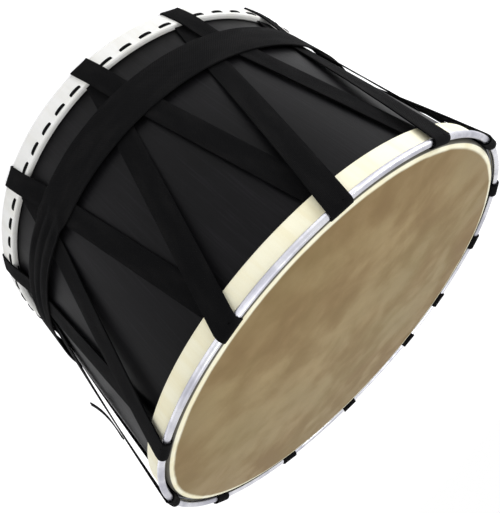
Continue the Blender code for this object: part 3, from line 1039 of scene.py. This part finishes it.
@dataclass
class Lacing:
    """The long webbing that pulls the two hoops together, run by run.

    Attributes:
        stack: The shared sizes.
        count: The wraps on each hoop.
        start: The angle of the first wrap on the bass hoop.
        bass_drift: How far each bass wrap lies from an even spacing.
        treble_drift: How far each treble wrap lies from the middle of its neighbours.
        join_depth: How deep inside the hoops two runs meet.
        lead: How far past a fold the webbing runs straight.
        lap_round: The round of the treble skin's lap.
        fold_round: The round of the treble skin's fold.
        step: The length of a step along a run.
        columns: The steps across the webbing.
        flutter: How far the webbing strays from dead straight.
        flutter_rate: How quickly that changes with height and across the webbing.
        ring_turns: The steps of a turn over the ring.
        fold_turns: The steps of a turn over an edge of the treble hoop.
    """

    stack: Stack
    count: int = 13
    start: float = -43.3
    bass_drift: tuple[float, ...] = (0.0, 0.0, 0.0, 3.0, 3.5, 6.0, 11.0, 12.0, 15.0, 5.0, 2.5, -1.0, 0.0)
    treble_drift: tuple[float, ...] = (-3.0, -4.0, -2.0, -5.0) + (-3.0,) * 9
    join_depth: float = 0.0130
    lead: float = 0.0010
    lap_round: float = 0.0010
    fold_round: float = 0.0015
    step: float = 0.0060
    columns: int = 6
    flutter: float = 0.0002
    flutter_rate: tuple[float, float] = (28.0, 1.7)
    ring_turns: int = 18
    fold_turns: int = 6

    def bass_angle(self, index: int) -> float:
        """The angle of a wrap on the bass hoop."""
        turn, place = divmod(index, self.count)
        return self.start + 360.0 * turn + 360.0 / self.count * place + self.bass_drift[place]

    def treble_angle(self, index: int) -> float:
        """The angle of the wrap on the treble hoop that follows a bass wrap."""
        middle = (self.bass_angle(index) + self.bass_angle(index + 1)) / 2
        return middle + self.treble_drift[index % self.count]

    def steps(self, first: Station, last: Station) -> list[Station]:
        """Stations at short even steps between two, without the first."""
        number = max(1, math.ceil((last.point() - first.point()).length / self.step))
        return [first.toward(last, step / number) for step in range(1, number + 1)]

    def crossing(self, first: Station, last: Station, height: float, radius: float) -> Station:
        """Where the straight way between two stations passes a height, at a radius of its own."""
        share = (height - first.height) / (last.height - first.height)
        return Station(first.angle + (last.angle - first.angle) * share, radius, height)

    def rising(self, index: int) -> list[Station]:
        """A run from the inside of the treble hoop, over the bass hoop and the ring.

        Args:
            index: The number of its bass wrap.

        Returns:
            The run's stations, from end to end.
        """
        stack = self.stack
        foot = self.treble_angle(index - 1)
        top = self.bass_angle(index)
        below = Station(foot, stack.passage_radius, stack.treble_fold + self.lead)
        beside = Station(top, stack.lap_radius + stack.ring_wrap, stack.ring_height)
        lower = self.crossing(below, beside, stack.belt_low, stack.inner_run)
        upper = self.crossing(below, beside, stack.belt_high, stack.inner_run)
        join = stack.treble_plane + self.join_depth + stack.fit / 2
        stations = [Station(foot, stack.passage_radius, join)]
        for place in (below, lower, upper, beside):
            stations += self.steps(stations[-1], place)
        for turn in range(1, self.ring_turns + 1):
            lean = 180.0 * turn / self.ring_turns
            radius = stack.lap_radius + stack.ring_wrap * math.cos(math.radians(lean))
            height = beside.height + stack.ring_wrap * math.sin(math.radians(lean))
            stations.append(Station(top, radius, height, lean))
        below_ring = stack.ring_height - stack.ring_radius - stack.fit
        for height in (below_ring, stack.bass_plane - self.join_depth + stack.fit / 2):
            stations += self.steps(stations[-1], Station(top, stack.passage_radius, height, 180.0))
        return stations

    def falling(self, index: int) -> list[Station]:
        """A run from the inside of the bass hoop, over the treble hoop.

        Args:
            index: The number of its bass wrap.

        Returns:
            The run's stations, from end to end.
        """
        stack = self.stack
        top = self.bass_angle(index)
        foot = self.treble_angle(index)
        half = stack.web / 2
        corner = stack.fit + half + self.lap_round
        below = Station(top, stack.passage_radius, stack.bass_fold - self.lead)
        floor = Station(foot, stack.band_run, half + corner)
        upper = self.crossing(floor, below, stack.belt_high, stack.outer_run)
        lower = self.crossing(floor, below, stack.belt_low, stack.outer_run)
        edge = self.crossing(floor, below, stack.treble_fold - self.fold_round, stack.band_run)
        stations = [Station(top, stack.passage_radius, stack.bass_plane - self.join_depth - stack.fit / 2)]
        for place in (below, upper, lower, edge, floor):
            stations += self.steps(stations[-1], place)
        turns = self.fold_turns
        outer = arc((stack.band_run - corner, half + corner), corner, 0, -90, turns)
        inner = arc((stack.passage_radius + corner, half + corner), corner, -90, -180, turns)
        for step, (radius, height) in enumerate(outer[1:], start=1):
            stations.append(Station(foot, radius, height, -90.0 * step / turns))
        for step, (radius, height) in enumerate(inner):
            stations.append(Station(foot, radius, height, -90.0 - 90.0 * step / turns))
        join = stack.treble_plane + self.join_depth - stack.fit / 2
        end = Station(foot, stack.passage_radius, join, -180.0)
        return stations + self.steps(stations[-1], end)

    def softened(self, stations: Sequence[Station], passes: int = 2) -> list[Station]:
        """The same run with its kinks eased, where the webbing faces straight out.

        Args:
            stations: The run's stations.
            passes: How often they are eased.

        Returns:
            As many stations, with eased radii.
        """
        eased = list(stations)
        for _ in range(passes):
            before = list(eased)
            for index in range(2, len(eased) - 2):
                here = before[index]
                if here.lean == 0.0 and before[index + 1].lean == 0.0:
                    radius = (before[index - 1].radius + 2 * here.radius + before[index + 1].radius) / 4
                    eased[index] = Station(here.angle, radius, here.height, here.lean)
        return eased

    def laid(self, stations: Sequence[Station], widths: Sequence[float], seed: float) -> bmesh.types.BMesh:
        """The strip along stations, from edge to edge.

        Args:
            stations: The run's stations.
            widths: The webbing's width at each.
            seed: A number of the run's own, for how it strays.

        Returns:
            The open strip.
        """
        middles = [station.point() for station in stations]
        frames = []
        for index, station in enumerate(stations):
            before = middles[max(index - 1, 0)]
            after = middles[min(index + 1, len(middles) - 1)]
            along = (after - before).normalized()
            frames.append(along.cross(station.outer_face()).normalized())

        def place(row: int, column: int) -> Vector:
            """The point of a row and a column.

            Args:
                row: The step along the strip.
                column: The step across it.

            Returns:
                The point.
            """
            share = column / self.columns - 0.5
            station = stations[row]
            where = Vector((seed, station.height * self.flutter_rate[0], share * self.flutter_rate[1]))
            stray = noise.noise(where) * self.flutter
            return middles[row] + frames[row] * share * widths[row] + station.outer_face() * stray

        return ribbon(len(stations) - 1, self.columns, place)

    def build(self, finish: bpy.types.Material) -> None:
        """Builds and places every run.

        Args:
            finish: The webbing's finish.
        """
        for index in range(self.count):
            for order, way in enumerate(Way):
                number = 2 * index + order + 1
                stations = self.rising(index) if way is Way.RISING else self.falling(index)
                stations = self.softened(stations)
                body = self.laid(stations, [self.stack.web_width] * len(stations), float(number))
                piece = piece_from(body, f"webbing_{number:02d}", finish)
                thicken(piece, self.stack.web, self.stack.web / 4)
                dress(piece, "lacing_webbing", f"webbing_run_{number:02d}")


@dataclass
class Tail:
    """The lacing's free end, on a rising run, with its tip turned up.

    Attributes:
        lacing: The lacing it belongs to.
        run: The rising run that it lies on.
        height: The height of its tip.
        length: How much of it lies free.
        lift: How far its tip stands off.
        taper: How much narrower it gets.
        taper_start: The share of its length where that starts.
        segments: The steps along it.
    """

    lacing: Lacing
    run: int = 4
    height: float = 0.2050
    length: float = 0.0500
    lift: float = 0.0090
    taper: float = 0.75
    taper_start: float = 0.5
    segments: int = 24

    def build(self, finish: bpy.types.Material) -> None:
        """Builds and places the tail.

        Args:
            finish: The webbing's finish.
        """
        lacing = self.lacing
        stack = lacing.stack
        top = lacing.bass_angle(self.run)
        foot = lacing.treble_angle(self.run - 1)
        below = Station(foot, stack.passage_radius, stack.treble_fold + lacing.lead)
        above = Station(top, stack.lap_radius + stack.ring_wrap, stack.ring_height)
        start = lacing.crossing(below, above, stack.belt_high, stack.inner_run)
        stations = []
        widths = []
        for step in range(self.segments + 1):
            share = step / self.segments
            height = self.height + self.length * (1.0 - share)
            run = start.toward(above, (height - start.height) / (above.height - start.height))
            radius = run.radius + stack.web + 2 * stack.fit + self.lift * share ** 3
            stations.append(Station(run.angle, radius, height))
            widths.append(stack.web_width * (1.0 - self.taper * max(0.0, share - self.taper_start)))
        piece = piece_from(lacing.laid(stations, widths, 77.0), "webbing_end", finish)
        thicken(piece, stack.web, stack.web / 4)
        dress(piece, "lacing_webbing", "webbing_tail")


@dataclass
class Belt:
    """The wide webbing round the drum, gathered into folds on one stretch.

    Attributes:
        stack: The shared sizes.
        thickness: The belt's thickness.
        step: The angle of a step round the drum, in degrees.
        join: The angle where its end laps over its start.
        lap: The length of that lap, in degrees.
        lap_rise: The stretch in which the end climbs onto the start.
        gather_start: The angle where the folds start.
        gather_end: The angle where they end.
        blend: The stretch in which they grow.
        narrowing: How much narrower the belt gets there.
        fold_depth: The depth of a fold.
        folds: The folds across the belt.
        fold_sway: How far the folds wander across the belt, as a share of one.
        crease_depth: The height of the curved crease that starts the folds.
        crease_width: Its width, in degrees.
        slackness: How unevenly the belt lies elsewhere.
        columns: The steps across the belt.
    """

    stack: Stack
    thickness: float = 0.0016
    step: float = 1.0
    join: float = 186.0
    lap: float = 14.0
    lap_rise: float = 6.0
    gather_start: float = 20.0
    gather_end: float = 62.0
    blend: float = 9.0
    narrowing: float = 0.0080
    fold_depth: float = 0.0026
    folds: float = 3.0
    fold_sway: float = 0.28
    crease_depth: float = 0.0016
    crease_width: float = 1.5
    slackness: float = 0.0002
    columns: int = 36

    def gather(self, angle: float) -> float:
        """How far the belt is gathered at an angle, from 0 to 1."""
        rise = smooth_step((angle - self.gather_start) / self.blend)
        return rise * smooth_step((self.gather_end - angle) / self.blend)

    def relief(self, angle: float, share: float) -> float:
        """How far a point stands out from the belt's round.

        Args:
            angle: The point's angle from the front, in degrees.
            share: Its share of the way up the belt.

        Returns:
            The distance.
        """
        gathered = self.gather(angle)
        travel = (angle - self.gather_start) / (self.gather_end - self.gather_start)
        phase = self.folds * share + self.fold_sway * math.sin(travel * math.pi * 1.3)
        fold = (0.5 - 0.5 * math.cos(math.tau * phase)) ** 0.65
        strength = 0.7 + 0.5 * noise.noise(Vector((angle * 0.09, share * 2.3, 4.0)))
        crease_angle = self.gather_start + 2.0 + 14.0 * (share - 0.5) ** 2
        crease = math.exp(-((angle - crease_angle) / self.crease_width) ** 2)
        slack = self.slackness * (1.0 + noise.noise(Vector((angle * 0.16, share * 1.4, 9.0))))
        return self.fold_depth * gathered * fold * strength + self.crease_depth * crease + slack

    def build(self, finish: bpy.types.Material) -> None:
        """Builds and places the belt.

        Args:
            finish: The belt's finish.
        """
        stack = self.stack
        width = stack.belt_high - stack.belt_low
        middle = (stack.belt_high + stack.belt_low) / 2
        clear = stack.outer_run + stack.web / 2 + stack.web_sag + stack.fit + self.thickness / 2
        rows = round((360.0 + self.lap) / self.step)

        def place(row: int, column: int) -> Vector:
            """The point of a row and a column.

            Args:
                row: The step along the strip.
                column: The step across it.

            Returns:
                The point.
            """
            turned = (360.0 + self.lap) * row / rows
            angle = self.join - 360.0 + turned
            share = column / self.columns
            climb = smooth_step((turned - 360.0 + self.lap_rise) / self.lap_rise)
            radius = clear + self.relief(angle, share) + (self.thickness + stack.fit) * climb
            narrowed = width - self.narrowing * self.gather(angle)
            return at(angle, radius, middle + narrowed * (share - 0.5))

        piece = piece_from(ribbon(rows, self.columns, place), "webbing_belt", finish)
        thicken(piece, self.thickness, self.thickness / 4)
        dress(piece, "belt_webbing", "belt")


@dataclass
class Stitching:
    """The flat lace that sews the treble skin's lap, dash by dash between the wraps.

    Attributes:
        lacing: The lacing, whose wraps the dashes stay clear of.
        length: A dash's length.
        width: The lace's width.
        thickness: Its thickness.
        pitch: The distance from dash to dash.
        inset: How far its middle lies from the fold's edge.
        clearance: How far a dash keeps from a wrap's edge.
        tilt: How far a dash's end may stray up or down.
        steps: The steps along a dash.
    """

    lacing: Lacing
    length: float = 0.0150
    width: float = 0.0043
    thickness: float = 0.0009
    pitch: float = 0.0270
    inset: float = 0.0038
    clearance: float = 0.0030
    tilt: float = 0.0010
    steps: int = 10

    def dash(self, body: bmesh.types.BMesh, angle: float) -> None:
        """Adds one dash, whose ends dive into the skin.

        Args:
            body: The shape that the dash goes in.
            angle: The angle of its middle, in degrees.
        """
        stack = self.lacing.stack
        height = stack.treble_fold - self.inset
        sweep = math.degrees(self.length / stack.lap_radius)
        tilt = noise.noise(Vector((angle * 0.7, 3.0, 1.0))) * self.tilt

        def place(row: int, column: int) -> Vector:
            """The point of a row and a column.

            Args:
                row: The step along the strip.
                column: The step across it.

            Returns:
                The point.
            """
            share = row / self.steps
            rise = math.sin(math.pi * share) ** 0.4
            across = (column / 2 - 0.5) * self.width * (0.86 + 0.14 * rise)
            radius = stack.lap_radius - self.thickness / 2 + (self.thickness + stack.fit) * rise
            return at(angle + sweep * (share - 0.5), radius, height + across + tilt * (share - 0.5) * 2)

        strip = ribbon(self.steps, 2, place)
        mesh = bpy.data.meshes.new("dash")
        strip.to_mesh(mesh)
        strip.free()
        body.from_mesh(mesh)
        bpy.data.meshes.remove(mesh)

    def build(self, finish: bpy.types.Material) -> None:
        """Builds and places all the dashes as one piece.

        Args:
            finish: The lace's finish.
        """
        lacing = self.lacing
        stack = lacing.stack
        reach = math.degrees((stack.web_width / 2 + self.clearance + self.length / 2) / stack.lap_radius)
        pitch = math.degrees(self.pitch / stack.lap_radius)
        body = bmesh.new()
        for index in range(lacing.count):
            first = lacing.treble_angle(index) + reach
            last = lacing.treble_angle(index + 1) - reach
            gaps = max(1, round((last - first) / pitch))
            for step in range(gaps + 1):
                self.dash(body, first + (last - first) * step / gaps)
        piece = piece_from(body, "lap_stitching", finish)
        thicken(piece, self.thickness, self.thickness / 4)
        dress(piece, "lacing_webbing")


@dataclass
class Studio:
    """The floor, the light and the camera.

    Attributes:
        camera_place: Where the camera stands.
        camera_turn: Its rotation about X, Y and Z, in degrees. It is rolled, as the photograph is.
        lens: Its focal length in millimetres on a 36 mm frame.
        sky: The light from all round.
        lamps: Each lamp's name, place, target, size and power.
        floor_reach: How far the floor goes each way.
    """

    camera_place: tuple[float, float, float] = (0.0, -0.63609, 0.51801)
    camera_turn: tuple[float, float, float] = (-50.0135, -40.7217, 150.8106)
    lens: float = 38.205
    sky: float = 0.66
    lamps: tuple = (
        ("overhead", (0.5, -0.5, 2.3), (0.0, 0.0, 0.3), 1.6, 13.0),
        ("side_strip", (-1.25, -0.55, 0.55), (0.0, -0.1, 0.18), 0.8, 9.0),
        ("front_fill", (0.5, -2.0, 1.1), (0.0, 0.0, 0.2), 1.2, 5.0),
    )
    floor_reach: float = 40.0

    def floor(self) -> None:
        """Lays the floor."""
        body = bmesh.new()
        bmesh.ops.create_grid(body, x_segments=8, y_segments=8, size=self.floor_reach)
        floor = piece_from(body, "studio_floor", Paper("pale_floor").build())

    def light(self) -> None:
        """Hangs the lamps and lights the sky."""
        for name, place, target, size, power in self.lamps:
            lamp = bpy.data.lights.new(name, "AREA")
            lamp.size = size
            lamp.energy = power
            holder = bpy.data.objects.new(name, lamp)
            holder.location = place
            holder.rotation_euler = (Vector(target) - Vector(place)).to_track_quat("-Z", "Y").to_euler()
            bpy.context.scene.collection.objects.link(holder)
        world = bpy.data.worlds.new("studio_sky")
        world.use_nodes = True
        graph = Graph(world.node_tree)
        path = graph.add("ShaderNodeLightPath").outputs
        seen = graph.math("MAXIMUM", path["Is Camera Ray"], path["Is Glossy Ray"])
        seen = graph.math("MAXIMUM", seen, path["Is Transmission Ray"])
        background = world.node_tree.nodes["Background"]
        background.inputs["Color"].default_value = (1.0, 1.0, 1.0, 1.0)
        graph.feed(background.inputs["Strength"], graph.fit_range(seen, 0.0, 1.0, self.sky, 1.0, False))
        bpy.context.scene.world = world

    def camera(self) -> None:
        """Sets the camera up."""
        data = bpy.data.cameras.new("camera")
        data.lens = self.lens
        data.sensor_width = 36.0
        data.clip_start = 0.01
        holder = bpy.data.objects.new("camera", data)
        holder.location = self.camera_place
        holder.rotation_euler = Euler([math.radians(turn) for turn in self.camera_turn])
        bpy.context.scene.collection.objects.link(holder)
        bpy.context.scene.camera = holder

    def build(self) -> None:
        """Sets up the whole studio."""
        self.camera()
        self.floor()
        self.light()
        bpy.context.scene.view_settings.view_transform = "Standard"


def dress_hoops(finish: bpy.types.Material) -> None:
    """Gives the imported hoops, which the lapped skins hide, their steel.

    Args:
        finish: The steel.
    """
    for name in ("bass_hoop", "treble_hoop"):
        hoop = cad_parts[name]
        if hoop.material_slots:
            hoop.material_slots[0].material = finish
        else:
            hoop.data.materials.append(finish)
        LOG.info("%s: keeps its packed mesh", name)


def main() -> None:
    """Builds the studio and dresses the drum."""
    logging.basicConfig(level=logging.INFO, format="%(name)s: %(message)s")
    Studio().build()
    stack = Stack()
    lacing = Lacing(stack)
    web = BlackWeb("lacing_web").build()
    white = Hide(
        "white_hide",
        field_light=srgb(240, 238, 230),
        field_dark=srgb(222, 218, 204),
        field_cast=srgb(232, 230, 220),
        band=srgb(247, 247, 245),
        band_warm=srgb(236, 235, 228),
        shade=0.15,
        groove_shade=0.2,
    ).build()
    Shell(stack).build(StainedPly("stained_ply").build())
    Skin(stack, Side.BASS).build(Hide("tan_hide").build())
    Skin(stack, Side.TREBLE).build(white)
    Ring(stack).build(Steel("bright_rod").build())
    strip = Steel("hoop_strip", tint=srgb(180, 182, 186), dull=srgb(140, 142, 148), smoothness=0.4)
    dress_hoops(strip.build())
    lacing.build(web)
    Tail(lacing).build(web)
    Belt(stack).build(BlackWeb("belt_web", rib=0.0016, pick=0.0024, thread=srgb(15, 15, 16)).build())
    Stitching(lacing).build(BlackWeb("flat_lace", rib=0.0009, pick=0.0012).build())


if __name__ == "__main__":
    main()
